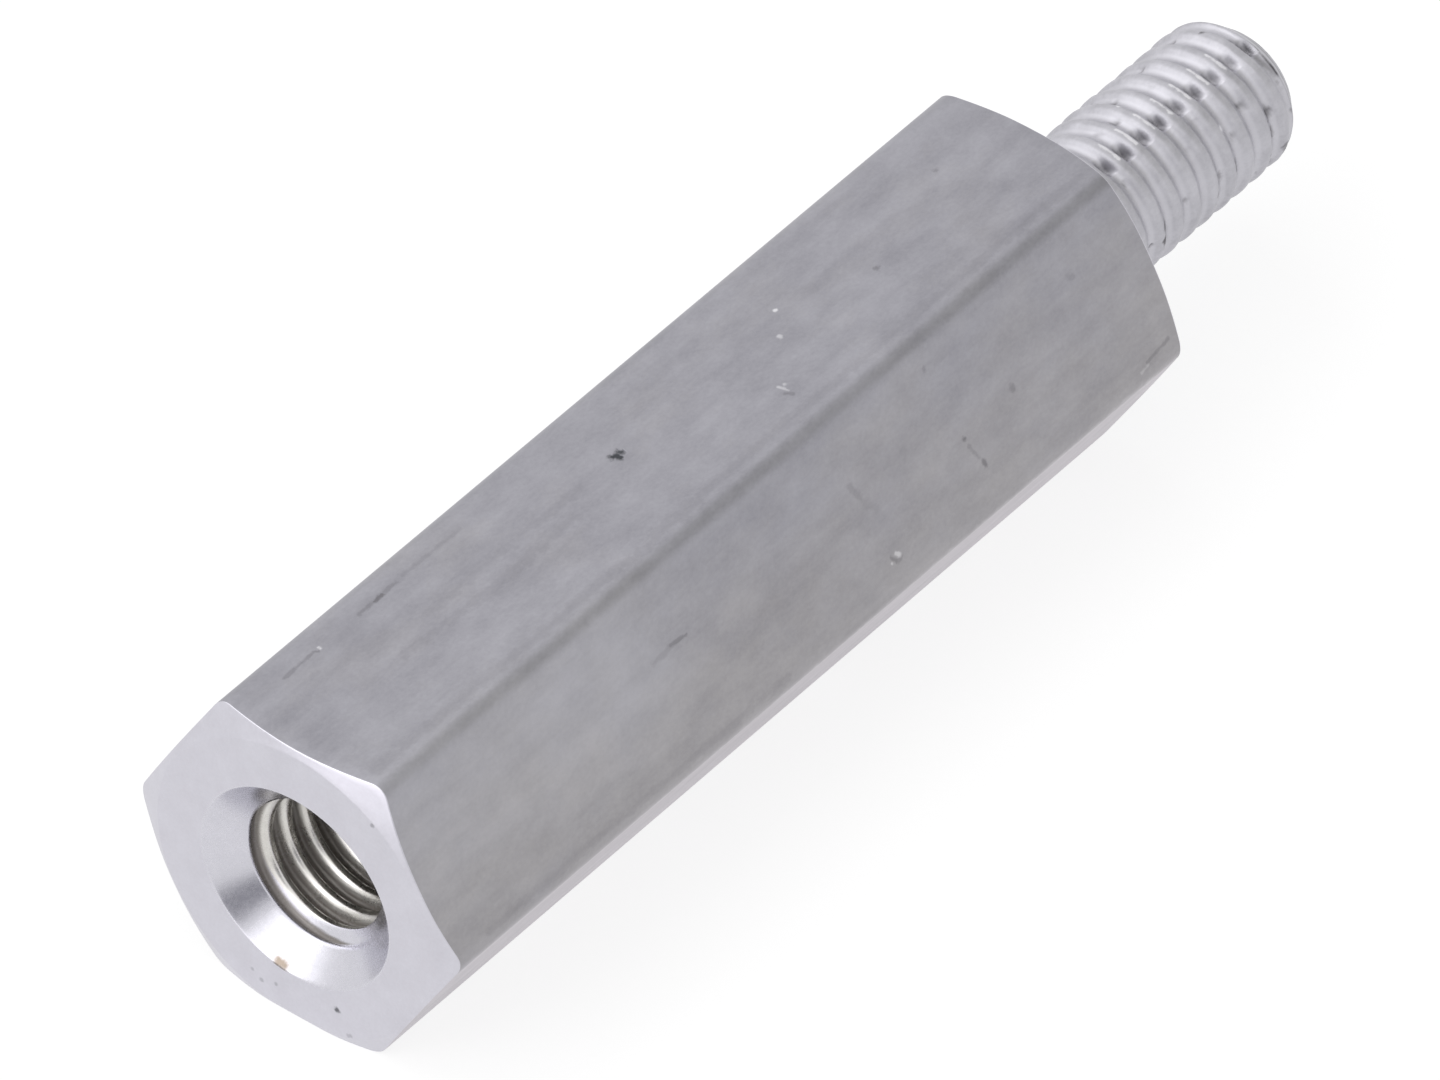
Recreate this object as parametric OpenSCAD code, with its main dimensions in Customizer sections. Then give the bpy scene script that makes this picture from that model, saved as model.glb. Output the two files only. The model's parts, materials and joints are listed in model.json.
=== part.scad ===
// Hex standoff with a stud: a hexagonal pillar, tapped at one end and with a threaded stud at the other.
// It is turned from one drawn bar, so it is one solid.
// It lies on one of its six flats, with its axis along X and the stud towards +X.
// The origin is on the surface it lies on, under the middle of its whole length.
// The threads are drawn plain: the stud at the outside of its thread, the hole at its tapping size.

/* [Body] */
// Hexagon, measured across its flats
across_flats = 6; // [5.4:0.1:9]
// Length of the hexagonal pillar, between its two end faces
body_length = 20; // [14:0.5:50]
// How far the six long edges are rounded back from sharp corners
long_edge_setback = 0.06; // [0.02:0.01:0.15]

/* [End chamfers] */
// How far inside the flats the round seat of each end face stops
seat_margin = 0.05; // [0.05:0.05:0.4]
// Slope of the corner chamfer, in degrees from the end face
corner_chamfer_angle = 25; // [15:1:40]

/* [Tapped hole] */
// Diameter of the hole, which is the inside of its thread
hole_diameter = 2.5; // [1.6:0.05:3.3]
// Depth of the hole at full width, from the end face to the drill point
hole_depth = 10; // [5:0.5:12]
// Point angle of the drill, in degrees
drill_point_angle = 118; // [90:1:140]
// Diameter of the countersink at the end face
countersink_diameter = 4; // [3.6:0.05:4.6]
// Included angle of the countersink, in degrees
countersink_angle = 90; // [60:5:120]

/* [Stud] */
// Diameter of the stud, which is the outside of its thread
stud_diameter = 2.96; // [2:0.02:4]
// Length of the stud, from the end face to its tip
stud_length = 6; // [3:0.5:12]
// Length and depth of the chamfer at the stud's tip
tip_chamfer = 0.4; // [0.2:0.05:0.8]

/* [Hidden] */

corner_count = 6;
corner_step = 360 / corner_count;
half_flats = across_flats / 2;
half_corners = half_flats / cos(corner_step / 2);
long_edge_reach = half_corners - long_edge_setback;

seat_radius = half_flats - seat_margin;
chamfer_height = (half_corners - seat_radius) * tan(corner_chamfer_angle);

hole_radius = hole_diameter / 2;
countersink_radius = countersink_diameter / 2;
countersink_slope = tan(countersink_angle / 2);
countersink_depth = (countersink_radius - hole_radius) / countersink_slope;
drill_point_length = hole_radius / tan(drill_point_angle / 2);

stud_radius = stud_diameter / 2;

overall_length = body_length + stud_length;
tapped_end_x = -overall_length / 2;

// The countersink is cut from this far outside the end face, and the stud starts this far inside it.
overlap = 1;
round_fn = 96;

// Section of the drawn bar: a hexagon whose corners are rounded to one circle, two of them on the first axis.
module bar_section() {
    intersection() {
        circle(r = half_corners, $fn = corner_count);
        circle(r = long_edge_reach, $fn = round_fn);
    }
}

// What the lathe leaves: wider than the bar, with a cone down to the round seat at each end.
module turned_envelope() {
    rotate_extrude($fn = round_fn)
        polygon([
            [0, 0],
            [seat_radius, 0],
            [half_corners, chamfer_height],
            [half_corners, body_length - chamfer_height],
            [seat_radius, body_length],
            [0, body_length]
        ]);
}

// The hexagonal pillar, standing on its tapped end.
module pillar() {
    intersection() {
        linear_extrude(height = body_length)
            bar_section();
        turned_envelope();
    }
}

// What the drill and the countersink take away, with the end face at height 0.
module tapped_hole() {
    rotate_extrude($fn = round_fn)
        polygon([
            [0, -overlap],
            [countersink_radius + overlap * countersink_slope, -overlap],
            [hole_radius, countersink_depth],
            [hole_radius, hole_depth],
            [0, hole_depth + drill_point_length]
        ]);
}

// The stud and the root that joins it to the pillar, with the end face at height 0.
module stud() {
    rotate_extrude($fn = round_fn)
        polygon([
            [0, -overlap],
            [stud_radius, -overlap],
            [stud_radius, stud_length - tip_chamfer],
            [stud_radius - tip_chamfer, stud_length],
            [0, stud_length]
        ]);
}

// The whole part, laid on a flat with its axis along X.
module standoff() {
    color("silver")
        translate([tapped_end_x, 0, half_flats])
            rotate([90, 0, 90])
                difference() {
                    union() {
                        pillar();
                        translate([0, 0, body_length])
                            stud();
                    }
                    tapped_hole();
                }
}

standoff();
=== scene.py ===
"""Looks of a turned hexagonal standoff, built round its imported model.

The pillar, its countersunk tapped hole and its threaded stud were turned from one drawn bar, so they are
one closed mesh here too. The mesh is a grid of rings that runs from the bottom of the hole, out over the
end face and along the flats, to the tip of the stud. A Geometry Nodes tree then cuts the threads into it.

Sizes are in millimetres until a mesh is written, which is in metres.
"""

import json
import logging
import math
from dataclasses import dataclass, replace
from enum import Enum
from functools import cached_property

import bmesh
import bpy
import numpy as np
from mathutils import Color, Matrix, Vector


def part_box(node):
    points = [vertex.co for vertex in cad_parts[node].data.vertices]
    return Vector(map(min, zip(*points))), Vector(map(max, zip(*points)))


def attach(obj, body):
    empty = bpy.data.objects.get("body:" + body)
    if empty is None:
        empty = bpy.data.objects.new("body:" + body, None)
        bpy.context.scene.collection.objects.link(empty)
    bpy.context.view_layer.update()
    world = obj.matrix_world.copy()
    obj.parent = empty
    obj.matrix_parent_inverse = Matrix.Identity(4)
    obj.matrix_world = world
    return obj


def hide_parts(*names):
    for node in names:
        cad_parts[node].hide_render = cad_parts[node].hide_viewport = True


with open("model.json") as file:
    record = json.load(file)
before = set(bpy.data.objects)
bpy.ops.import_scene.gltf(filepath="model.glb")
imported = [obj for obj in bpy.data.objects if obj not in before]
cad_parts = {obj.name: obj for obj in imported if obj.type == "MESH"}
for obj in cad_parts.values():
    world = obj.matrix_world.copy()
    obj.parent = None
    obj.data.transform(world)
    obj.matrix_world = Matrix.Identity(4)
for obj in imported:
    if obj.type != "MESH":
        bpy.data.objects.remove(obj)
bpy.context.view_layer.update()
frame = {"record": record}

log = logging.getLogger("standoff")

Socket = bpy.types.NodeSocket
Pair = tuple[float, float]
Triple = tuple[float, float, float]
Colour = tuple[float, float, float, float]

MM = 0.001
CORNERS = 6
CORNER_TURN = 2 * math.pi / CORNERS
PITCH = 0.5
BODY = "root"
NODE = "standoff"


class Finish(Enum):
    """How a stretch of the surface was made. The value is its place in the mesh's materials."""

    DRAWN = 0
    TURNED = 1
    BORED = 2


class Region(Enum):
    """The threaded stretches. The value is the name of the mesh attribute that marks their points."""

    HOLE = "in_hole"
    MOUTH = "in_mouth"
    STUD = "on_stud"


class Worked(Enum):
    """What a thread leaves on the surface. The value is the name of the mesh attribute that keeps it."""

    DEPTH = "cut_depth"
    TORN = "torn"


class Face(Enum):
    """The surfaces that carry marks. A flat's value is its angle round the axis, in degrees."""

    TOP = 90
    FRONT = 150
    UNDER = 210
    END = 0
    STUD = 360


class Stain(Enum):
    """What a mark turns the metal to. The pale colour also paints highlights, and the dark one also paints
    shade.
    """

    PIT = "pit"
    DARK = "dark"
    PALE = "pale"
    TAN = "tan"


class Hand(Enum):
    """Which way a thread winds."""

    RIGHT = 1.0
    LEFT = -1.0


class Side(Enum):
    """Whether a thread is cut into a rod, towards the axis, or into the wall of a hole, away from it."""

    ROD = 1.0
    WALL = -1.0


def linear(red: int, green: int, blue: int) -> Colour:
    """A colour in linear light with full alpha, from how it shows on a screen, from 0 to 255."""
    shown = Color([value / 255 for value in (red, green, blue)])
    return (*shown.from_srgb_to_scene_linear(), 1.0)


def towards(azimuth: float, elevation: float) -> Vector:
    """The direction from the object to a place round it.

    Args:
        azimuth: Where the place lies, in degrees. From 0 the view is along +Y, with +X to the right.
        elevation: How high it lies above the horizon, in degrees.

    Returns:
        The direction, with a length of one.
    """
    a, e = math.radians(azimuth), math.radians(elevation)
    return Vector((math.sin(a) * math.cos(e), -math.cos(a) * math.cos(e), math.sin(e)))


def unit(vectors: np.ndarray) -> np.ndarray:
    """The same directions with a length of one."""
    return vectors / np.linalg.norm(vectors, axis=1, keepdims=True)


def spoke(turn: float) -> np.ndarray:
    """The Y and Z of a step of one millimetre away from the axis, at an angle round it in radians."""
    return np.array([math.cos(turn), math.sin(turn)])


def put_in_scene(name: str, data: bpy.types.ID) -> bpy.types.Object:
    """Makes an object of some data and links it to the scene.

    Args:
        name: The object's name.
        data: Its mesh, lamp or camera.

    Returns:
        The object.
    """
    thing = bpy.data.objects.new(name, data)
    bpy.context.scene.collection.objects.link(thing)
    return thing


def fresh_tree(owner: bpy.types.Material | bpy.types.World) -> bpy.types.NodeTree:
    """Turns on the nodes of a material or of the surroundings.

    Args:
        owner: What the nodes belong to.

    Returns:
        Its tree, with no nodes in it yet.
    """
    owner.use_nodes = True
    owner.node_tree.nodes.clear()
    return owner.node_tree


class Graph:
    """A node tree that is being built, with short ways to add nodes and join them."""

    def __init__(self, tree: bpy.types.NodeTree) -> None:
        """Takes the tree that the nodes go into."""
        self.tree = tree

    def add(self, kind: str, values: dict | None = None, **settings: object) -> bpy.types.Node:
        """Adds a node.

        Args:
            kind: The node's type, such as ShaderNodeMath.
            values: What goes into its inputs, by name or number: plain values, or sockets to link.
            **settings: The node's own properties.

        Returns:
            The node.
        """
        node = self.tree.nodes.new(kind)
        for name, value in settings.items():
            setattr(node, name, value)
        for key, value in (values or {}).items():
            if isinstance(value, Socket):
                self.tree.links.new(value, node.inputs[key])
            else:
                node.inputs[key].default_value = value
        return node

    def math(self, operation: str, *values: object) -> Socket:
        """One step of arithmetic on plain numbers or sockets, and the socket that it comes out of."""
        return self.add("ShaderNodeMath", dict(enumerate(values)), operation=operation).outputs[0]

    def plus(self, first: object, second: object) -> Socket:
        """The sum of two values."""
        return self.math("ADD", first, second)

    def minus(self, first: object, second: object) -> Socket:
        """What is left of the first value without the second."""
        return self.math("SUBTRACT", first, second)

    def times(self, first: object, second: object) -> Socket:
        """The product of two values."""
        return self.math("MULTIPLY", first, second)

    def vector(self, operation: str, *values: object) -> Socket:
        """One step of vector arithmetic.

        Args:
            operation: What is done, such as LENGTH.
            *values: Plain vectors or sockets.

        Returns:
            The socket of the vector or the number that it gives.
        """
        node = self.add("ShaderNodeVectorMath", dict(enumerate(values)), operation=operation)
        single = operation in ("LENGTH", "DISTANCE", "DOT_PRODUCT")
        return node.outputs["Value" if single else "Vector"]

    def remap(self, value: object, low: object, high: object, to_low: float = 0.0, to_high: float = 1.0,
              kind: str = "LINEAR") -> Socket:
        """Stretches a range of values to another range and holds it at the ends.

        Args:
            value: What is stretched.
            low: The value that becomes to_low.
            high: The value that becomes to_high.
            to_low: Where the range starts.
            to_high: Where the range ends.
            kind: LINEAR, or SMOOTHSTEP to ease in and out.

        Returns:
            The stretched value's socket.
        """
        values = {"Value": value, "From Min": low, "From Max": high, "To Min": to_low, "To Max": to_high}
        return self.add("ShaderNodeMapRange", values, interpolation_type=kind).outputs[0]

    def ease(self, value: object, low: object, high: object) -> Socket:
        """Stretches a range of values to run from 0 to 1, easing in and out."""
        return self.remap(value, low, high, kind="SMOOTHSTEP")

    def blend(self, factor: object, first: object, second: object) -> Socket:
        """Mixes two colours by a factor. Its sockets go by number, as several share each name."""
        return self.add("ShaderNodeMix", {0: factor, 6: first, 7: second}, data_type="RGBA").outputs[2]

    def split(self, vector: Socket) -> bpy.types.bpy_prop_collection:
        """The X, Y and Z of a vector, by name."""
        return self.add("ShaderNodeSeparateXYZ", {0: vector}).outputs


@dataclass(frozen=True)
class Sizes:
    """The standoff's sizes in millimetres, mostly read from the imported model.

    The hole and the chamfer round it were turned a little off the bar's centre, as in the photograph.
    """

    low: Vector
    high: Vector
    shoulder: float
    stud_radius: float
    hole_radius: float
    hole_mouth: float
    hole_length: float
    seat_margin: float = 0.05
    least_chamfer: float = 0.05
    chamfer_angle: float = math.radians(25)
    chamfer_wobble: float = 0.006
    countersink_angle: float = math.radians(90)
    drill_angle: float = math.radians(118)
    tip_chamfer: float = 0.4
    tip_narrowing: float = 0.07
    tip_radius: float = 1.05
    turning_offset: Pair = (-0.05, -0.08)

    @classmethod
    def from_frame(cls, record: dict) -> "Sizes":
        """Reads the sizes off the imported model.

        Args:
            record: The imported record, whose mounts give the stud and the hole.

        Returns:
            The sizes.
        """
        low, high = (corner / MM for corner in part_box(NODE))
        mounts = {mount["name"]: mount for mount in record["mounts"]}
        stud, hole = mounts["stud"], mounts["tapped_hole"]
        return cls(
            low=low,
            high=high,
            shoulder=stud["pos_m"][0] / MM,
            stud_radius=stud["dims"]["r_mm"],
            hole_radius=hole["dims"]["r_mm"],
            hole_mouth=hole["pos_m"][0] / MM,
            hole_length=hole["dims"]["length_mm"],
        )

    @property
    def half_flats(self) -> float:
        """Half the width across the flats."""
        return (self.high.z - self.low.z) / 2

    @property
    def axis_height(self) -> float:
        """Height of the axis above what the part lies on."""
        return (self.high.z + self.low.z) / 2

    @property
    def half_corners(self) -> float:
        """Half the width across the corners, if they were sharp."""
        return self.half_flats / math.cos(CORNER_TURN / 2)

    @property
    def long_edge_radius(self) -> float:
        """Radius of the bar's long edges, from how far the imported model's corners are set back."""
        return (self.half_corners - self.high.y) / (1 / math.cos(CORNER_TURN / 2) - 1)

    @property
    def middle(self) -> Vector:
        """The middle of the pillar's axis."""
        return Vector(((self.low.x + self.shoulder) / 2, 0.0, self.axis_height))

    @property
    def seat_radius(self) -> float:
        """Radius of the flat seat that the corner chamfer leaves on each end face."""
        return self.half_flats - self.seat_margin

    @property
    def countersink_radius(self) -> float:
        """Radius of the countersink at the end face."""
        depth = self.hole_mouth - self.low.x
        return self.hole_radius + depth * math.tan(self.countersink_angle / 2)


@dataclass(frozen=True)
class Corner:
    """A place where the outline turns.

    Attributes:
        ring: One point for each column of the grid, in millimetres.
        rounding: Radius that the corner is rounded to, or 0 to leave it sharp.
    """

    ring: np.ndarray
    rounding: float = 0.0

    def arc(self, before: "Corner", after: "Corner", steps: int) -> list[np.ndarray]:
        """Rounds the corner in every column at once.

        Args:
            before: The corner before it.
            after: The corner after it.
            steps: How many bands of faces the rounding has.

        Returns:
            The rings of the rounding, or the corner's own ring if it stays sharp.
        """
        if not self.rounding:
            return [self.ring]
        back, on = unit(before.ring - self.ring), unit(after.ring - self.ring)
        half = np.arccos(np.clip((back * on).sum(axis=1, keepdims=True), -1, 1)) / 2
        reach = self.rounding / np.tan(half)
        centre = self.ring + unit(back + on) * self.rounding / np.sin(half)
        first, last = self.ring + back * reach - centre, self.ring + on * reach - centre
        sweep = math.pi - 2 * half
        rings = []
        for t in np.linspace(0, 1, steps + 1):
            turned = (np.sin((1 - t) * sweep) * first + np.sin(t * sweep) * last) / np.sin(sweep)
            rings.append(centre + turned)
        return rings


@dataclass(frozen=True)
class Stretch:
    """What lies between one corner of the outline and the next.

    Attributes:
        steps: How many bands of faces it has.
        finish: How its surface was made.
        region: The thread that is cut into it, if any.
    """

    steps: int
    finish: Finish
    region: Region | None = None


@dataclass
class Outline:
    """The standoff's surface before its threads are cut, as rings from the hole's bottom to the stud's tip.

    Attributes:
        sizes: The standoff's sizes.
        arc_steps: Bands of faces round each half of a long edge.
        flat_steps: Bands of faces across each flat.
        edge_support: How close to a rounding the first band on a flat ends, so that the flat looks flat.
        rounding_steps: Bands of faces in each rounded corner of the outline.
        body_steps: Bands of faces along the flats.
        face_steps: Bands of faces across each end face.
        narrow_steps: Bands of faces on each corner chamfer and on the stud's end.
        cone_steps: Bands of faces in the cone that the drill left.
        fine_depth: How deep in the hole the rings stay close together.
        fine_pitch: Distance between rings where a thread shows.
        coarse_pitch: Distance between rings deep in the hole.
        pole_radius: Radius of the first and the last ring.
        mouth_rounding: Rounding of the hole's and the countersink's edges.
        seat_rounding: Rounding of the seat's edge.
        flat_rounding: Rounding of the chamfer's edge on the flats.
        foot_rounding: Rounding where the stud meets the pillar.
        tip_roundings: Roundings of the three edges at the stud's tip, in order.
        wandering: How many times a hand-fed cut may wander out and in on its way round.
    """

    sizes: Sizes
    arc_steps: int = 5
    flat_steps: int = 18
    edge_support: float = 0.03
    rounding_steps: int = 3
    body_steps: int = 48
    face_steps: int = 6
    narrow_steps: int = 4
    cone_steps: int = 3
    fine_depth: float = 4.0
    fine_pitch: float = PITCH / 13
    coarse_pitch: float = PITCH / 8
    pole_radius: float = 0.02
    mouth_rounding: float = 0.05
    seat_rounding: float = 0.09
    flat_rounding: float = 0.02
    foot_rounding: float = 0.06
    tip_roundings: Triple = (0.3, 0.2, 0.12)
    wandering: range = range(2, 14)

    @cached_property
    def bar(self) -> np.ndarray:
        """Walks round the drawn bar's section.

        Returns:
            The Y and Z of each column, from the axis: a hexagon with rounded corners, two of them level.
        """
        radius = self.sizes.long_edge_radius
        core = self.sizes.half_corners - radius / math.cos(CORNER_TURN / 2)
        turns = np.linspace(-CORNER_TURN / 2, CORNER_TURN / 2, 2 * self.arc_steps + 1)
        inner = self.edge_support / core
        shares = np.linspace(inner, 1 - inner, self.flat_steps - 1)
        points = []
        for middle in np.arange(CORNERS) * CORNER_TURN:
            points += [core * spoke(middle) + radius * spoke(middle + turn) for turn in turns]
            start = points[-1]
            facing = middle + CORNER_TURN / 2
            across = core * np.array([-math.sin(facing), math.cos(facing)])
            points += [start + across * share for share in shares]
        return np.array(points)

    def circle(self, along: float, radius: float, rounding: float = 0.0,
               centre: Pair = (0.0, 0.0)) -> Corner:
        """A round corner of the outline.

        Args:
            along: Its place along the axis.
            radius: Its radius.
            rounding: The radius that it is rounded to.
            centre: Its centre's Y and Z, from the bar's axis.

        Returns:
            The corner.
        """
        flat = np.array(centre) + unit(self.bar) * radius
        return Corner(np.column_stack([np.full(len(flat), along), flat]), rounding)

    def wobble(self, seed: int) -> np.ndarray:
        """How far a hand-fed cut wanders as it goes round.

        Args:
            seed: Fixes the pattern.

        Returns:
            One small distance for each column, about 0 on the whole.
        """
        draw = np.random.default_rng(seed)
        around = np.arctan2(self.bar[:, 1], self.bar[:, 0])
        waves = [np.cos(n * around + draw.uniform(0, math.tau)) / math.sqrt(n) for n in self.wandering]
        return sum(waves) * self.sizes.chamfer_wobble

    def chamfer(self, end: float, inward: float, centre: Pair, seed: int) -> list[Corner]:
        """The two edges of a corner chamfer: on the end face, round its seat, and on the flats.

        Args:
            end: The end face's place along the axis.
            inward: 1 where the pillar lies on the +X side of that face, and -1 where it lies on the other.
            centre: Y and Z that the chamfer was turned round, from the bar's axis.
            seed: Fixes how its edges wander.

        Returns:
            The corner on the end face and the one on the flats.
        """
        s = self.sizes
        away = self.bar - np.array(centre)
        reach = np.linalg.norm(away, axis=1)
        excess = reach - s.seat_radius + self.wobble(seed) - s.least_chamfer
        width = s.least_chamfer + (excess + np.hypot(excess, s.least_chamfer)) / 2
        seat = self.bar - away * (width / reach)[:, None]
        ends = np.full(len(width), end)
        depth = inward * width * math.tan(s.chamfer_angle)
        return [
            Corner(np.column_stack([ends, seat]), self.seat_rounding),
            Corner(np.column_stack([ends + depth, self.bar]), self.flat_rounding),
        ]

    def threaded(self, start: float, end: float, finish: Finish, region: Region,
                 pitch: float | None = None) -> Stretch:
        """A stretch that a thread is cut into.

        Args:
            start: Where it starts, along the axis.
            end: Where it ends.
            finish: How its surface was made.
            region: The thread.
            pitch: About how far apart its rings are, if not as fine as where a thread shows.

        Returns:
            The stretch.
        """
        steps = round(abs(end - start) / (pitch or self.fine_pitch))
        return Stretch(max(1, steps), finish, region)

    def rows(self) -> list[tuple[np.ndarray, Finish, Region | None]]:
        """Works out every ring.

        Returns:
            Each ring, with the finish of the band of faces that starts there and its region.
        """
        s = self.sizes
        off = s.turning_offset
        left, right, tip = s.low.x, s.shoulder, s.high.x
        bottom = s.hole_mouth + s.hole_length
        point = bottom + s.hole_radius / math.tan(s.drill_angle / 2)
        fine = left + self.fine_depth
        narrowing, chamfer = tip - 2 * s.tip_chamfer, tip - s.tip_chamfer
        narrowed, chamfered, tipped = self.tip_roundings
        corners = [
            self.circle(point, self.pole_radius, centre=off),
            self.circle(bottom, s.hole_radius, centre=off),
            self.circle(fine, s.hole_radius, centre=off),
            self.circle(s.hole_mouth, s.hole_radius, self.mouth_rounding, off),
            self.circle(left, s.countersink_radius, self.mouth_rounding, off),
            *self.chamfer(left, 1, off, seed=11),
            *reversed(self.chamfer(right, -1, (0.0, 0.0), seed=12)),
            self.circle(right, s.stud_radius, self.foot_rounding),
            self.circle(narrowing, s.stud_radius, narrowed),
            self.circle(chamfer, s.stud_radius - s.tip_narrowing, chamfered),
            self.circle(tip, s.tip_radius, tipped),
            self.circle(tip, self.pole_radius),
        ]
        stretches = [
            Stretch(self.cone_steps, Finish.BORED),
            self.threaded(fine, bottom, Finish.BORED, Region.HOLE, self.coarse_pitch),
            self.threaded(s.hole_mouth, fine, Finish.BORED, Region.HOLE),
            self.threaded(left, s.hole_mouth, Finish.BORED, Region.MOUTH),
            Stretch(self.face_steps, Finish.TURNED),
            Stretch(self.narrow_steps, Finish.TURNED),
            Stretch(self.body_steps, Finish.DRAWN),
            Stretch(self.narrow_steps, Finish.TURNED),
            Stretch(self.face_steps, Finish.TURNED),
            self.threaded(right, narrowing, Finish.TURNED, Region.STUD),
            self.threaded(narrowing, chamfer, Finish.TURNED, Region.STUD),
            self.threaded(chamfer, tip, Finish.TURNED, Region.STUD),
            Stretch(self.narrow_steps, Finish.TURNED),
        ]
        return self.join_up(corners, stretches)

    def join_up(self, corners: list[Corner],
                stretches: list[Stretch]) -> list[tuple[np.ndarray, Finish, Region | None]]:
        """Rounds the corners and fills in the rings between them.

        Args:
            corners: The outline's corners, in order.
            stretches: What lies between each corner and the next.

        Returns:
            Each ring, with the finish of the band of faces that starts there and its region.
        """
        arcs = [[corners[0].ring]]
        for before, corner, after in zip(corners, corners[1:], corners[2:]):
            arcs.append(corner.arc(before, after, self.rounding_steps))
        arcs.append([corners[-1].ring])
        rows = []
        for stretch, before, after in zip(stretches, arcs, arcs[1:]):
            start, end = before[-1], after[0]
            for share in np.arange(stretch.steps) / stretch.steps:
                rows.append((start + (end - start) * share, stretch.finish, stretch.region))
            edge = Finish.BORED if stretch.finish is Finish.BORED else Finish.TURNED
            rows += [(ring, edge, stretch.region) for ring in after[:-1]]
        rows.append((corners[-1].ring, stretches[-1].finish, None))
        return rows

    def mesh(self, name: str) -> bpy.types.Mesh:
        """Makes the closed mesh.

        Args:
            name: The mesh's name.

        Returns:
            The mesh in metres, with its finishes and the regions for its threads.
        """
        rings, finishes, regions = zip(*self.rows())
        poles = [rings[0].mean(axis=0), rings[-1].mean(axis=0)]
        lift = np.array([0.0, 0.0, self.sizes.axis_height])
        vertices = (np.concatenate([*rings, poles]) + lift) * MM
        columns = len(self.bar)
        total = len(rings) * columns
        beside = [(column + 1) % columns for column in range(columns)]
        faces, kinds = [], []
        for row, finish in enumerate(finishes[:-1]):
            here, there = row * columns, (row + 1) * columns
            faces += [(here + a, here + b, there + b, there + a) for a, b in enumerate(beside)]
            kinds += [finish.value] * columns
        for pole, start, finish in ((total, 0, finishes[0]), (total + 1, total - columns, finishes[-1])):
            faces += [(pole, start + a, start + b) for a, b in enumerate(beside)]
            kinds += [finish.value] * columns
        mesh = bpy.data.meshes.new(name)
        mesh.from_pydata(vertices.tolist(), [], faces)
        mesh.polygons.foreach_set("material_index", kinds)
        for region in Region:
            marks = mesh.attributes.new(region.value, "BOOLEAN", "POINT")
            flags = np.repeat([kept is region for kept in regions], columns)
            marks.data.foreach_set("value", np.append(flags, [False, False]))
        return mesh


@dataclass(frozen=True)
class Thread:
    """A helical thread, in millimetres.

    Attributes:
        region: Which points it is cut into.
        side: Whether it is cut into a rod or into a wall.
        crest_radius: Radius of the surface that it is cut into.
        depth: How deep the groove is.
        start: Where it starts, along the axis.
        crest_turn: Where its crest passes that place, as a share of the pitch.
        crest_share: Share of the pitch that stays uncut.
        root_share: Share of the pitch that the bottom of the groove takes.
        rounding: How round its crests and roots are, from 0 to 1.
        centre: Y and Z of its axis, from the bar's axis.
        pitch: Distance from one turn to the next.
        run_out: How far it takes to reach its full depth.
        softness: How much its surface wanders, as a depth.
        nick_turn: Where the tool nicked each root, in turns round the axis.
        nick_width: Half the width of a nick, in turns.
        nick_depth: Depth of a nick.
        tearing: Depth of the small tears along the roots.
        hand: Which way it winds.
        seed: Fixes what is random.
    """

    region: Region
    side: Side
    crest_radius: float
    depth: float
    start: float
    crest_turn: float
    crest_share: float
    root_share: float
    rounding: float = 1.0
    centre: Pair = (0.0, 0.0)
    pitch: float = PITCH
    run_out: float = 0.25
    softness: float = 0.0
    nick_turn: float = 0.0
    nick_width: float = 0.01
    nick_depth: float = 0.0
    tearing: float = 0.0
    hand: Hand = Hand.RIGHT
    seed: float = 0.0

    def inputs(self, axis_height: float) -> dict[str, object]:
        """Sets out what the thread-cutting tree takes.

        Args:
            axis_height: Height of the bar's axis, in millimetres.

        Returns:
            The value of each input by its name, with lengths in metres.
        """
        return {
            "Region": self.region.value,
            "Side": self.side.value,
            "Hand": self.hand.value,
            "Axis": (self.start * MM, self.centre[0] * MM, (self.centre[1] + axis_height) * MM),
            "Crest Radius": self.crest_radius * MM,
            "Depth": self.depth * MM,
            "Pitch": self.pitch * MM,
            "Crest Turn": self.crest_turn,
            "Crest Share": self.crest_share,
            "Root Share": self.root_share,
            "Rounding": self.rounding,
            "Run Out": self.run_out * MM,
            "Softness": self.softness * MM,
            "Nick Turn": self.nick_turn,
            "Nick Width": self.nick_width,
            "Nick Depth": self.nick_depth * MM,
            "Tearing": self.tearing * MM,
            "Seed": self.seed,
        }


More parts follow.
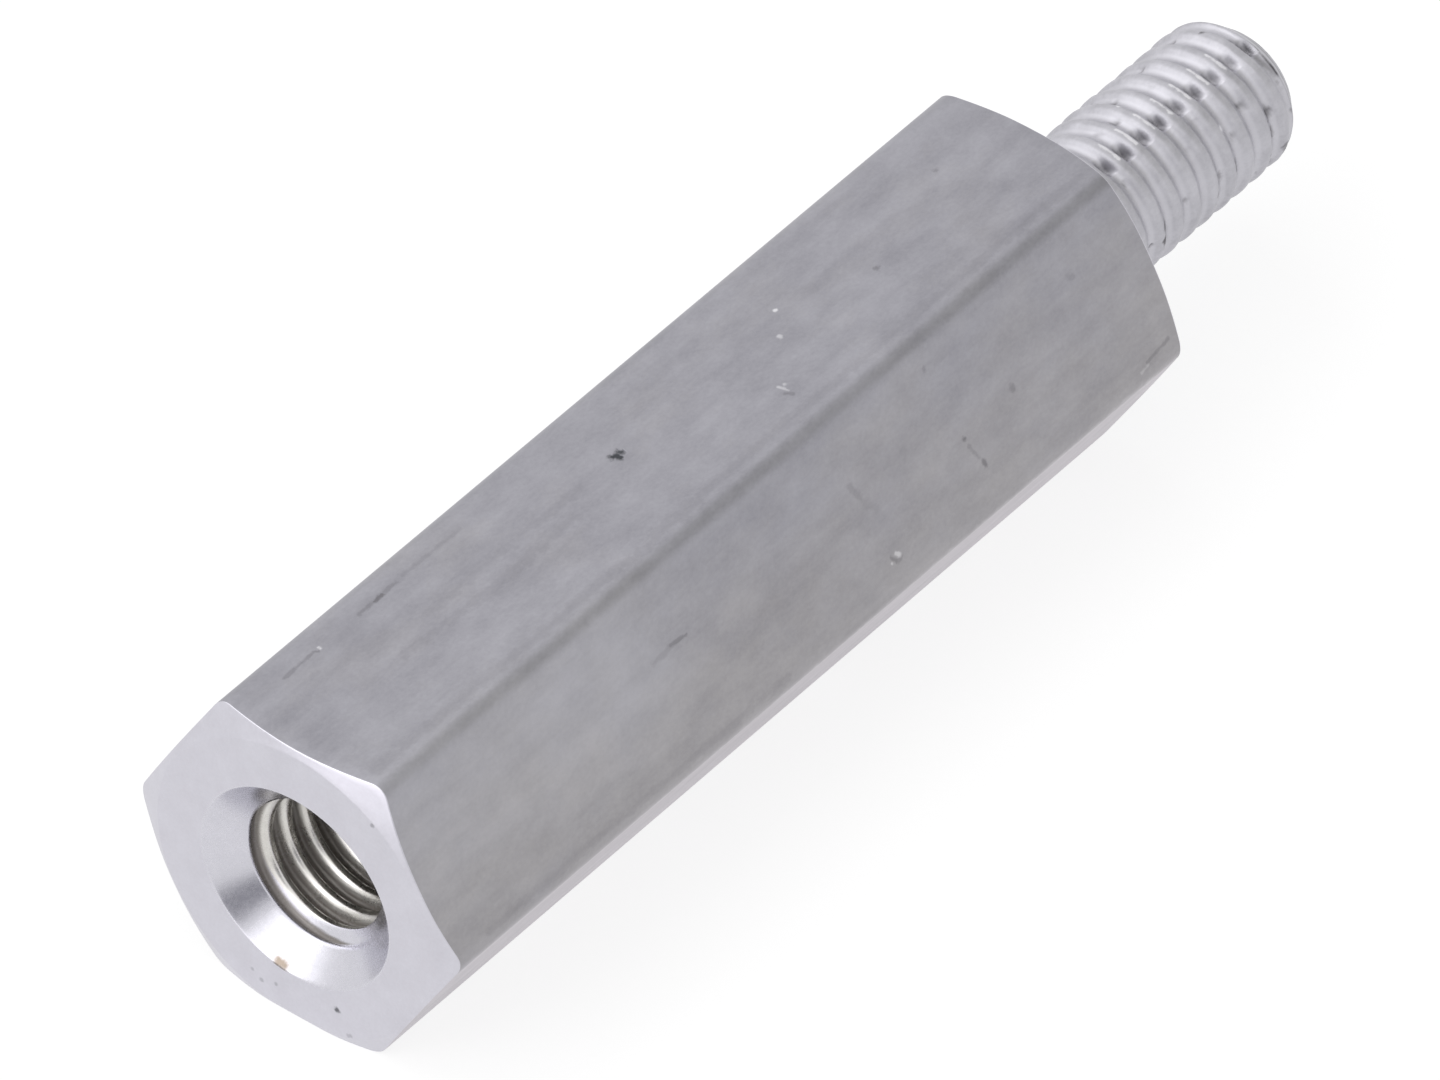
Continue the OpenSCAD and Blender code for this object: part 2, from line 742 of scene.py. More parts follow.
class ThreadCutter(Graph):
    """The Geometry Nodes tree that cuts a helical thread into the marked points of a mesh.

    The noise scales are per metre. A range gives where something starts and where it is complete: the roots
    in the groove's depth, the tears in their noise, and the groove's look in the share of its depth that the
    cut took off. NICK_CORE is the share of a nick's width that is fully deep, and FAINTEST_NICK is how
    strong the weakest nick is, where the strongest has 1.
    """

    INPUTS = {
        "NodeSocketGeometry": ("Geometry",),
        "NodeSocketString": ("Region",),
        "NodeSocketVector": ("Axis",),
        "NodeSocketFloat": (
            "Side", "Hand", "Crest Radius", "Depth", "Pitch", "Crest Turn", "Crest Share", "Root Share",
            "Rounding", "Run Out", "Softness", "Nick Turn", "Nick Width", "Nick Depth", "Tearing", "Seed",
        ),
        "NodeSocketMaterial": ("Material",),
    }
    LUMP_SCALE = 1400.0
    TEAR_SCALE = 3200.0
    NOISE_DETAIL = 3.0
    NICK_CORE = 0.35
    FAINTEST_NICK = 0.55
    ROOT_RANGE = (0.3, 0.95)
    TEAR_RANGE = (0.6, 0.72)
    LOOK_RANGE = (0.0, 0.25)

    def __init__(self) -> None:
        """Builds the tree."""
        super().__init__(bpy.data.node_groups.new("cut_thread", "GeometryNodeTree"))
        face = self.tree.interface
        self.sockets = {
            name: face.new_socket(name, in_out="INPUT", socket_type=kind)
            for kind, names in self.INPUTS.items()
            for name in names
        }
        face.new_socket("Geometry", in_out="OUTPUT", socket_type="NodeSocketGeometry")
        self.given = self.add("NodeGroupInput").outputs
        self.build()

    def groove(self, turns: Socket) -> Socket:
        """How deep the thread is cut at each point.

        Args:
            turns: How many pitches past a crest the point lies.

        Returns:
            The depth, from 0 on a crest to 1 at the bottom of the groove.
        """
        wave = self.math("ABSOLUTE", self.math("MULTIPLY_ADD", self.math("FRACT", turns), 2.0, -1.0))
        flank = self.minus(1.0, self.given["Crest Share"]), self.given["Root Share"]
        straight = self.remap(wave, *flank)
        change = self.minus(self.ease(wave, *flank), straight)
        return self.math("MULTIPLY_ADD", change, self.given["Rounding"], straight)

    def nicks(self, turns: Socket, angle: Socket) -> Socket:
        """A row of nicks along the thread, one in each root, some stronger than others.

        Args:
            turns: How many pitches past a crest the point lies.
            angle: Angle round the axis, in turns.

        Returns:
            The nicks' mask, from 0 to 1.
        """
        away = self.math("WRAP", self.minus(angle, self.given["Nick Turn"]), 0.5, -0.5)
        core = self.times(self.given["Nick Width"], self.NICK_CORE)
        window = self.ease(self.math("ABSOLUTE", away), self.given["Nick Width"], core)
        count = self.plus(self.math("FLOOR", turns), self.given["Seed"])
        chance = self.add("ShaderNodeTexWhiteNoise", {"W": count}, noise_dimensions="1D").outputs["Value"]
        return self.times(window, self.remap(chance, 0.0, 1.0, self.FAINTEST_NICK, 1.0))

    def noise(self, position: Socket, scale: float) -> Socket:
        """Noise from 0 to 1 with features of about one over its scale, in metres."""
        values = {"Vector": position, "W": self.given["Seed"], "Scale": scale, "Detail": self.NOISE_DETAIL}
        return self.add("ShaderNodeTexNoise", values, noise_dimensions="4D").outputs[0]

    def build(self) -> None:
        """Adds the tree's nodes."""
        g, given = self, self.given
        name = {"Name": given["Region"]}
        marked = g.add("GeometryNodeInputNamedAttribute", name, data_type="BOOLEAN").outputs[0]
        position = g.add("GeometryNodeInputPosition").outputs[0]
        out = g.split(g.vector("SUBTRACT", position, given["Axis"]))
        radius = g.math("SQRT", g.plus(*[g.math("POWER", out[axis], 2.0) for axis in "YZ"]))
        angle = g.math("DIVIDE", g.math("ARCTAN2", out["Z"], out["Y"]), math.tau)
        wound = g.math("MULTIPLY_ADD", angle, given["Hand"], given["Crest Turn"])
        turns = g.minus(g.math("DIVIDE", out["X"], given["Pitch"]), wound)
        fade = g.ease(g.math("ABSOLUTE", out["X"]), 0.0, given["Run Out"])
        groove = g.times(g.groove(turns), fade)
        root = g.ease(groove, *self.ROOT_RANGE)
        nick = g.times(g.nicks(turns, angle), root)
        torn = g.times(g.ease(g.noise(position, self.TEAR_SCALE), *self.TEAR_RANGE), root)
        lump = g.times(g.noise(position, self.LUMP_SCALE), given["Softness"])
        depth = g.math("MULTIPLY_ADD", groove, given["Depth"], lump)
        depth = g.math("MULTIPLY_ADD", nick, given["Nick Depth"], depth)
        depth = g.math("MULTIPLY_ADD", torn, given["Tearing"], depth)
        cut = g.minus(g.times(given["Crest Radius"], given["Side"]), depth)
        kept = g.math("MINIMUM", g.times(radius, given["Side"]), cut)
        grown = g.minus(g.math("DIVIDE", g.times(kept, given["Side"]), radius), 1.0)
        across, up = (g.times(out[axis], grown) for axis in "YZ")
        offset = g.add("ShaderNodeCombineXYZ", {0: 0.0, 1: across, 2: up}).outputs[0]
        nicked = g.times(nick, g.math("GREATER_THAN", given["Nick Depth"], 0.0))
        teared = g.times(torn, g.math("GREATER_THAN", given["Tearing"], 0.0))
        taken = g.math("DIVIDE", g.vector("LENGTH", offset), given["Depth"])
        # The finishes paint shade and light into the roots from the groove's depth, and shade into the nicks
        # and tears.
        kept_values = {
            Worked.DEPTH: g.times(groove, g.remap(taken, *self.LOOK_RANGE)),
            Worked.TORN: g.math("MAXIMUM", nicked, teared),
        }
        geometry = given["Geometry"]
        for worked, value in kept_values.items():
            values = {"Geometry": geometry, "Selection": marked, "Name": worked.value, "Value": value}
            stored = g.add("GeometryNodeStoreNamedAttribute", values, data_type="FLOAT", domain="POINT")
            geometry = stored.outputs[0]
        for kind, values in (
            ("GeometryNodeSetPosition", {"Selection": marked, "Offset": offset}),
            ("GeometryNodeRealizeInstances", {}),
            ("GeometryNodeSetMaterial", {"Selection": marked, "Material": given["Material"]}),
        ):
            geometry = g.add(kind, {"Geometry": geometry, **values}).outputs[0]
        g.add("NodeGroupOutput", {"Geometry": geometry})

    def cut(self, piece: bpy.types.Object, thread: Thread, axis_height: float,
            material: bpy.types.Material) -> None:
        """Cuts a thread into a piece.

        Args:
            piece: The piece, whose mesh marks the thread's region.
            thread: The thread.
            axis_height: Height of the bar's axis, in millimetres.
            material: What the thread's faces are dressed with.
        """
        modifier = piece.modifiers.new("thread", "NODES")
        modifier.node_group = self.tree
        for name, value in {**thread.inputs(axis_height), "Material": material}.items():
            modifier[self.sockets[name].identifier] = value
        graph = bpy.context.evaluated_depsgraph_get()
        plain = bpy.data.meshes.new_from_object(piece.evaluated_get(graph))
        piece.modifiers.remove(modifier)
        piece.data = plain


class Group(Graph):
    """A shader group that is being built, with named inputs and one named output."""

    def __init__(self, name: str, vectors: tuple[str, ...], numbers: tuple[str, ...] = ()) -> None:
        """Starts the group.

        Args:
            name: The group's name.
            vectors: Names of its inputs that are vectors.
            numbers: Names of its inputs that are plain numbers.
        """
        super().__init__(bpy.data.node_groups.new(name, "ShaderNodeTree"))
        for kind, labels in (("NodeSocketVector", vectors), ("NodeSocketFloat", numbers)):
            for label in labels:
                self.tree.interface.new_socket(label, in_out="INPUT", socket_type=kind)
        self.given = self.add("NodeGroupInput").outputs

    def give(self, name: str, value: Socket) -> bpy.types.NodeTree:
        """Ends the group.

        Args:
            name: The name of its output.
            value: What it puts out.

        Returns:
            The finished group.
        """
        self.tree.interface.new_socket(name, in_out="OUTPUT", socket_type=value.bl_idname)
        self.add("NodeGroupOutput", {name: value})
        return self.tree


class Effects:
    """Shader groups that more than one finish uses. They put out only values and places.

    NOISE_MEAN is the noise's own mean. SPECK_CORE and MARK_CORE are how far from its edge, and how near its
    middle, a speck and a mark are complete. LEAST_SQUARE keeps a round mark from dividing by 0.
    """

    NOISE_MEAN = 0.5
    SPECK_CORE = 0.5
    MARK_CORE = 0.15
    LEAST_SQUARE = 1e-6

    def __init__(self, sizes: Sizes) -> None:
        """Builds the groups.

        Args:
            sizes: The standoff's sizes.
        """
        self.place = self.build_place(sizes.middle)
        self.grain = self.build_grain()
        self.specks = self.build_specks()
        self.mark = self.build_mark()

    def build_place(self, middle: Vector) -> bpy.types.NodeTree:
        """Builds the group for a place in millimetres from the middle of the pillar's axis.

        Args:
            middle: That middle, in millimetres.

        Returns:
            The group, which turns Object coordinates to such a place.
        """
        g = Group("place_on_bar", ("Object",))
        centred = g.vector("SUBTRACT", g.given["Object"], tuple(middle * MM))
        return g.give("Place", g.vector("MULTIPLY", centred, (1 / MM,) * 3))

    def build_grain(self) -> bpy.types.NodeTree:
        """Builds the group for noise that is drawn out along chosen directions.

        Returns:
            The group, whose values are centred on 0.
        """
        g = Group("drawn_grain", ("Place", "Stretch"), ("Detail", "Rough", "Amount"))
        given = g.given
        vector = g.vector("MULTIPLY", given["Place"], given["Stretch"])
        values = {"Vector": vector, "Scale": 1.0, "Detail": given["Detail"], "Roughness": given["Rough"]}
        noise = g.add("ShaderNodeTexNoise", values).outputs[0]
        return g.give("Value", g.times(g.minus(noise, self.NOISE_MEAN), given["Amount"]))

    def build_specks(self) -> bpy.types.NodeTree:
        """Builds the group for small scattered spots.

        Returns:
            The group, whose mask fills a random few of a grid of cells.
        """
        g = Group("scattered_specks", ("Place",), ("Per mm", "Size", "Share"))
        cells = g.add("ShaderNodeTexVoronoi", {"Vector": g.given["Place"], "Scale": g.given["Per mm"]})
        chance = g.add("ShaderNodeSeparateColor", {0: cells.outputs["Color"]}).outputs[0]
        filled = g.math("LESS_THAN", chance, g.given["Share"])
        near = g.minus(1.0, g.math("DIVIDE", cells.outputs["Distance"], g.given["Size"]))
        return g.give("Mask", g.times(g.ease(near, 0.0, self.SPECK_CORE), filled))

    def build_mark(self) -> bpy.types.NodeTree:
        """Builds the group for one pit or scratch.

        Returns:
            The group, whose mask tells how near a point lies to a short straight line, with frayed edges.
        """
        g = Group("single_mark", ("Place", "From", "To"), ("Width", "Ragged"))
        given = g.given
        line = g.vector("SUBTRACT", given["To"], given["From"])
        away = g.vector("SUBTRACT", given["Place"], given["From"])
        squared = g.math("MAXIMUM", g.vector("DOT_PRODUCT", line, line), self.LEAST_SQUARE)
        share = g.remap(g.math("DIVIDE", g.vector("DOT_PRODUCT", away, line), squared), 0.0, 1.0)
        nearest = g.add("ShaderNodeVectorMath", {0: line, "Scale": share}, operation="SCALE").outputs[0]
        distance = g.vector("DISTANCE", away, nearest)
        frayed = g.plus(g.math("DIVIDE", distance, given["Width"]), given["Ragged"])
        return g.give("Mask", g.ease(frayed, 1.0, self.MARK_CORE))


@dataclass(frozen=True)
class Mark:
    """A pit, scratch or spot on a face, or a painted highlight or painted shade, in millimetres.

    Attributes:
        face: The face that it is on.
        start: Where it starts. On a flat that is along the axis and then across the flat, seen from outside
            with the tapped end to the left. On the end face it is Y and Z. On the stud it is along the axis
            and then the angle round it, in degrees.
        end: Where it ends, or None for a round spot.
        width: How far it reaches to each side.
        strength: How much of its stain shows.
        depth: How deep it is, as a share of the finish's relief.
        inset: How far below the face its place lies.
        fray: How frayed its edges are.
    """

    face: Face
    start: Pair
    end: Pair | None
    width: float
    strength: float = 1.0
    depth: float = 0.0
    inset: float = 0.0
    fray: float = 1.0

    def points(self, sizes: Sizes) -> list[Vector]:
        """Where it starts and ends, from the middle of the pillar's axis."""
        return [self.place(spot, sizes) for spot in (self.start, self.end or self.start)]

    def place(self, spot: Pair, sizes: Sizes) -> Vector:
        """Finds one of its ends in space.

        Args:
            spot: The place on the face.
            sizes: The standoff's sizes.

        Returns:
            The place from the middle of the pillar's axis.
        """
        if self.face is Face.END:
            return Vector((sizes.low.x + self.inset, *spot)) - sizes.middle
        along = Vector((spot[0] - sizes.middle.x, 0.0, 0.0))
        turn = math.radians(spot[1] if self.face is Face.STUD else self.face.value)
        outwards = Vector((0.0, math.cos(turn), math.sin(turn)))
        if self.face is Face.STUD:
            return along + outwards * (sizes.stud_radius - self.inset)
        across = Vector((0.0, -math.sin(turn), math.cos(turn)))
        return along + across * spot[1] + outwards * (sizes.half_flats - self.inset)


@dataclass(frozen=True)
class Grain:
    """Noise that is centred on 0.

    Attributes:
        rates: How fast it changes along each axis, per millimetre.
        detail: How many finer layers it has.
        amount: How strong it is.
    """

    rates: Triple
    detail: float
    amount: float


# Stain colours. The pale one also paints highlights, and the dark one paints shade as well as dark marks.
STAINS = {
    Stain.PIT: linear(66, 68, 72),
    Stain.DARK: linear(104, 102, 106),
    Stain.PALE: linear(248, 247, 250),
    Stain.TAN: linear(124, 114, 105),
}

# What all finishes share. Pairs of heights and reaches run from where an effect starts to where it is
# complete, in millimetres from the middle of the axis.
MOTTLE = Grain((1.1, 1.9, 1.9), detail=5.0, amount=1.0)
FINE = Grain((11.0, 15.0, 15.0), detail=2.0, amount=0.6)
RAGGED = Grain((5.0, 7.0, 7.0), detail=3.0, amount=2.4)
BLOTCHES = Grain((0.35, 0.7, 0.7), detail=4.0, amount=5.0)
STREAK_DETAIL = 3.0
GRAIN_ROUGHNESS = 0.62
SPECKS_PER_MM = 1.3
SPECK_SIZE = 0.1
SPECK_STRENGTH = 0.35
FINE_HEIGHT = 0.8
# Where the painted shade or light in a thread's root starts and where it is complete, in the groove's depth.
ROOT_SHADE_RANGE = (0.42, 0.8)
# How strongly shade is painted into the nicks and tears of a thread.
TORN_SHADE_STRENGTH = 0.85
ROUGHNESS_CHANGE = 0.12
WARM_TINT = (1.05, 1.02, 0.93)
# Painted reflection tint: the surroundings' warmer reflection, laid into the colour towards the bar's lower
# half.
WARM_REFLECTION_HEIGHTS = (3.0, 0.2)
# Where the painted bounce light underneath starts and is complete: in height, then across towards the front.
BOUNCE_LIGHT_HEIGHTS = (0.05, -0.4)
BOUNCE_LIGHT_REACH = (0.3, -0.3)


class Coat(Graph):
    """The nodes of a metal finish, with the shared effects at hand."""

    def __init__(self, material: bpy.types.Material, effects: Effects) -> None:
        """Starts a material's nodes with the place on the bar.

        Args:
            material: The material.
            effects: The shared shader groups.
        """
        super().__init__(fresh_tree(material))
        self.effects = effects
        coordinates = self.add("ShaderNodeTexCoord").outputs["Object"]
        self.place = self.use(effects.place, {"Object": coordinates})

    def use(self, group: bpy.types.NodeTree, values: dict) -> Socket:
        """Places a shared group, and gives the socket that it puts out."""
        return self.add("ShaderNodeGroup", values, node_tree=group).outputs[0]

    def grain(self, grain: Grain) -> Socket:
        """Places grain, and gives the socket that it comes out of."""
        values = {"Stretch": grain.rates, "Detail": grain.detail, "Amount": grain.amount}
        return self.use(self.effects.grain, {"Place": self.place, "Rough": GRAIN_ROUGHNESS, **values})

    def specks(self, share: float) -> Socket:
        """Scatters specks over a share of the cells, and gives their mask."""
        values = {"Place": self.place, "Per mm": SPECKS_PER_MM, "Size": SPECK_SIZE, "Share": share}
        return self.use(self.effects.specks, values)

    def stain(self, marks: tuple[Mark, ...], ragged: Socket, sizes: Sizes) -> tuple[Socket, Socket]:
        """Where the marks of one stain lie.

        Args:
            marks: The marks.
            ragged: Noise centred on 0 that frays their edges.
            sizes: The standoff's sizes.

        Returns:
            How much of the stain shows, and how deep the marks are.
        """
        stained, dented = 0.0, 0.0
        for mark in marks:
            start, end = (tuple(point) for point in mark.points(sizes))
            frayed = self.times(ragged, mark.fray)
            values = {"Place": self.place, "From": start, "To": end, "Width": mark.width, "Ragged": frayed}
            mask = self.use(self.effects.mark, values)
            stained = self.math("MAXIMUM", stained, self.times(mask, mark.strength))
            if mark.depth:
                dented = self.math("MAXIMUM", dented, self.times(mask, mark.depth))
        return stained, dented


@dataclass(frozen=True)
class MetalFinish:
    """A finish of the bare metal.

    Attributes:
        name: The material's name.
        dark: Its colour where it is darkest.
        light: Its colour where it is lightest.
        streaks: How fast its tool marks change along each axis, per millimetre.
        roughness: Its mean roughness.
        relief: Height of its marks, in millimetres.
        contrast: How strongly the tool marks show in the colour.
        mottling: How strongly soft blotches show in it.
        warmth: How much warmer the colour gets in blotches, and towards the bar's lower half as a painted
            tint of the surroundings' reflection.
        bounce_light: Painted light from the floor's bounce: how much lighter the bar is underneath on its
            front side, in red, green and blue.
        root: The colour painted at the bottom of a thread: painted shade where it is darker than the metal,
            and painted light that lifts the roots' own shade where it is lighter.
        root_share: How much of that colour shows there.
        root_shade_dulling: How much of the metal's gloss the painted shade at the bottom of a thread takes
            away.
        speck_share: Share of the cells that hold a faint dark speck.
        marks: Its pits, scratches and spots, and its painted highlights and shade, by stain.
    """

    name: str
    dark: Colour
    light: Colour
    streaks: Triple
    roughness: float
    relief: float
    contrast: float = 0.5
    mottling: float = 1.0
    warmth: float = 0.0
    bounce_light: Triple = (1.0, 1.0, 1.0)
    root: Colour = (0.0, 0.0, 0.0, 1.0)
    root_share: float = 0.0
    root_shade_dulling: float = 0.0
    speck_share: float = 0.05
    marks: tuple[tuple[Stain, tuple[Mark, ...]], ...] = ()

    def build(self, effects: Effects, sizes: Sizes) -> bpy.types.Material:
        """Makes the material.

        Args:
            effects: The shared shader groups.
            sizes: The standoff's sizes.

        Returns:
            The material.
        """
        material = bpy.data.materials.new(self.name)
        g = Coat(material, effects)
        streak = g.grain(Grain(self.streaks, STREAK_DETAIL, self.contrast))
        mottle = g.grain(replace(MOTTLE, amount=self.mottling))
        fine, ragged = g.grain(FINE), g.grain(RAGGED)
        tone = g.plus(g.plus(streak, mottle), g.plus(fine, effects.NOISE_MEAN))
        colour = g.blend(g.remap(tone, 0.0, 1.0), self.dark, self.light)
        if self.warmth:
            colour = self.painted_tint_and_bounce(g, colour)
        specks = g.specks(self.speck_share)
        colour = g.blend(g.times(specks, SPECK_STRENGTH), colour, STAINS[Stain.DARK])
        height = g.minus(g.plus(streak, g.times(fine, FINE_HEIGHT)), specks)
        for stain, marks in self.marks:
            mask, dents = g.stain(marks, ragged, sizes)
            colour = g.blend(mask, colour, STAINS[stain])
            height = g.minus(height, dents)
        metal = 1.0
        # Paints the thread roots: shade in the hole and the countersink, light on the stud, whose root
        # colour is lighter. Then paints shade into the nicks and tears.
        if self.root_share:
            nodes = [g.add("ShaderNodeAttribute", attribute_name=worked.value) for worked in Worked]
            depth, torn = (node.outputs["Fac"] for node in nodes)
            deep = g.ease(depth, *ROOT_SHADE_RANGE)
            metal = g.math("MULTIPLY_ADD", deep, -self.root_shade_dulling, 1.0)
            colour = g.blend(g.times(deep, self.root_share), colour, self.root)
            colour = g.blend(g.times(torn, TORN_SHADE_STRENGTH), colour, STAINS[Stain.DARK])
        rough = g.math("MULTIPLY_ADD", g.plus(mottle, fine), ROUGHNESS_CHANGE, self.roughness)
        bump = g.add("ShaderNodeBump", {"Strength": 1.0, "Distance": self.relief * MM, "Height": height})
        shader = g.add("ShaderNodeBsdfPrincipled", {
            "Base Color": colour, "Metallic": metal, "Roughness": rough, "Normal": bump.outputs[0],
        })
        g.add("ShaderNodeOutputMaterial", {"Surface": shader.outputs[0]})
        return material

    def painted_tint_and_bounce(self, g: Coat, colour: Socket) -> Socket:
        """Makes the colour warmer towards the bar's lower half as a painted reflection tint, broken up by
        blotches, and paints the floor's bounce light underneath.

        Args:
            g: The material's nodes.
            colour: The colour.

        Returns:
            The changed colour.
        """
        spot = g.split(g.place)
        # Painted reflection tint: warmer towards the bar's lower half, broken up by random blotches.
        share = g.remap(g.plus(spot["Z"], g.grain(BLOTCHES)), *WARM_REFLECTION_HEIGHTS, 0.0, self.warmth)
        warm = g.blend(share, colour, g.vector("MULTIPLY", colour, WARM_TINT))
        # Painted light: the front of the bar's lower side is lightened as if by light thrown up from the
        # floor.
        bounce_lit = g.vector("MULTIPLY", warm, self.bounce_light)
        below = g.ease(spot["Z"], *BOUNCE_LIGHT_HEIGHTS)
        nearer = g.ease(spot["Y"], *BOUNCE_LIGHT_REACH)
        return g.blend(g.times(below, nearer), warm, bounce_lit)


def marks_on(face: Face, *rows: tuple) -> tuple[Mark, ...]:
    """Marks on one face, from rows of start, end, width and then strength, depth, inset and fray."""
    return tuple(Mark(face, *row) for row in rows)


FLAT_MARKS = (
    (Stain.PALE, (
        *marks_on(
            Face.TOP,
            ((0.58, -0.55), None, 0.07, 0.6),
            ((0.12, -0.07), None, 0.07, 0.35),
            ((-10.75, -1.22), None, 0.07, 0.9),
            ((-0.9, 0.7), (-0.86, 0.86), 0.05, 0.3),
            ((-0.78, 0.72), None, 0.05, 0.3),
        ),
        *marks_on(
            Face.FRONT,
            # Painted highlights on the rim of a dent, beside its dark marks.
            ((-0.78, 1.1), (-0.72, 1.18), 0.06, 0.35),
            ((-0.95, 1.2), None, 0.05, 0.3),
            ((5.75, 1.53), (5.95, 1.5), 0.045, 0.15),
            # Painted light: a broad, faint lightening of the front flat towards the tapped end.
            ((-12.0, -0.6), (-7.5, -0.5), 2.4, 0.1, 0.0, 0.0, 0.15),
        ),
        *marks_on(Face.UNDER, ((-12.5, -1.4), (6.0, -1.5), 0.2, 0.12)),
    )),
    (Stain.DARK, (
        *marks_on(
            Face.TOP,
            ((-11.7, -1.22), (-10.9, -1.24), 0.06, 0.35, 0.5),
            ((-10.9, -1.25), (-10.82, -1.2), 0.05, 0.45, 0.5),
            ((-9.7, -1.24), (-8.7, -1.26), 0.07, 0.35, 0.6),
            ((-9.3, -1.24), (-9.08, -1.25), 0.06, 0.7, 1.0),
            ((-8.5, -1.28), (-7.0, -1.25), 0.06, 0.16),
            ((-10.0, -0.02), (-7.9, 0.06), 0.16, 0.16),
            ((-8.1, 0.1), (-5.6, 0.02), 0.2, 0.14),
            ((-9.0, -0.38), (-5.0, -0.33), 0.16, 0.1),
            ((-12.5, 1.36), (-4.0, 1.42), 0.18, 0.16),
            ((-5.0, 1.34), (6.5, 1.38), 0.16, 0.12),
            ((-0.96, 0.88), (-0.88, 0.98), 0.06, 0.35),
            ((5.1, -0.62), None, 0.1, 0.35, 1.0),
            ((2.53, 0.13), None, 0.1, 0.5, 1.0),
        ),
        *marks_on(
            Face.FRONT,
            ((-6.0, -0.32), (-5.6, -0.29), 0.05, 0.45, 0.8),
            ((-6.5, -0.26), (-5.9, -0.3), 0.08, 0.18),
            ((-1.1, -0.4), (-0.98, -0.1), 0.09, 0.2, 0.6),
            ((-0.95, 0.0), (-0.8, 0.2), 0.12, 0.14, 0.6),
            ((-0.92, 1.1), (-0.84, 1.22), 0.06, 0.4, 1.0),
            ((-0.8, 1.26), (-0.7, 1.22), 0.06, 0.3, 1.0),
            ((1.6, 0.3), None, 0.08, 0.6, 1.0),
            ((1.62, 0.45), (1.72, 0.75), 0.06, 0.25, 0.5),
            ((1.78, 0.86), (1.8, 0.94), 0.08, 0.55, 1.0),
            ((3.0, 0.17), None, 0.12, 0.35),
            ((1.4, -1.17), None, 0.09, 0.35),
            ((5.08, -0.8), (5.2, -0.7), 0.08, 0.2),
            ((-12.0, 1.54), (-4.0, 1.56), 0.12, 0.14),
            ((5.95, 1.44), (6.6, 1.36), 0.05, 0.35),
        ),
    )),
    (Stain.PIT, marks_on(
        Face.TOP,
        ((-4.0, -0.36), (-3.95, -0.33), 0.13, 0.95, 3.0),
        ((-3.86, -0.38), (-3.84, -0.34), 0.11, 0.9, 3.0),
    )),
)
END_MARKS = (
    (Stain.PIT, marks_on(
        Face.END,
        ((-0.944, 0.683), None, 0.08, 0.8, 2.0),
        ((-1.693, 5.314), None, 0.06, 0.4, 2.0),
        ((0.68, 0.42), None, 0.06, 0.3, 1.0),
        ((0.35, 0.5), None, 0.05, 0.3, 1.0),
        ((0.86, 0.56), None, 0.05, 0.25, 1.0),
        ((-1.24, 0.26), (-1.18, 0.24), 0.05, 0.25, 1.0),
    )),
)
MOUTH_MARKS = (
    (Stain.TAN, marks_on(Face.END, ((0.33, 1.0), (0.22, 0.98), 0.17, 1.0, 1.0, 0.06, 0.35))),
)
# Painted highlights: thin pale lines on the stud's crests beside the nicks.
CREST_HIGHLIGHTS = [((8.79 + PITCH * turn, 93.0), (8.79 + PITCH * turn, 110.0)) for turn in range(7)]
# Painted shade: dark arcs round the rim of the stud's tip chamfer, seen at a grazing angle.
RIM_SHADE_ARCS = [((12.82, angle), (12.82, angle + 18)) for angle in range(70, 178, 18)]
STUD_MARKS = (
    (Stain.PALE, marks_on(
        Face.STUD,
        *[(*ends, 0.05, 0.6, 0.0, 0.03) for ends in CREST_HIGHLIGHTS],
        ((9.82, 78.0), None, 0.08, 1.0, 0.0, 0.05),
        ((10.95, 140.0), None, 0.1, 1.0, 0.0, 0.06, 0.2),
    )),
    (Stain.DARK, marks_on(
        Face.STUD,
        ((9.86, 73.0), None, 0.1, 1.0, 0.0, 0.06),
        ((12.23, 76.0), None, 0.08, 0.8, 0.0, 0.05),
        ((8.98, 171.0), (8.98, 175.0), 0.1, 0.8, 0.0, 0.07),
        ((8.98, 182.0), (9.0, 190.0), 0.12, 1.0, 0.0, 0.07),
        ((10.56, 170.0), (10.56, 175.0), 0.11, 0.9, 0.0, 0.07),
        ((10.45, 184.0), None, 0.08, 0.7, 0.0, 0.06),
        ((10.13, 205.0), None, 0.08, 0.7, 0.0, 0.06),
        ((10.97, 168.0), (10.98, 175.0), 0.08, 0.7, 0.0, 0.07),
        ((11.98, 159.0), None, 0.08, 0.8, 0.0, 0.05),
        ((11.97, 188.0), None, 0.08, 0.8, 0.0, 0.06),
        # Painted shade along the edge of the tip's chamfer.
        ((12.41, 97.0), (12.51, 112.0), 0.11, 0.55, 0.0, 0.08, 0.5),
        ((12.51, 118.0), (12.61, 135.0), 0.13, 1.0, 0.0, 0.09, 0.4),
        ((12.55, 141.0), (12.58, 148.0), 0.06, 0.6, 0.0, 0.08),
        ((12.4, 192.0), (12.55, 203.0), 0.14, 0.8, 0.0, 0.06),
        *[(*ends, 0.12, 0.42, 0.0, 0.27, 0.4) for ends in RIM_SHADE_ARCS],
    )),
)

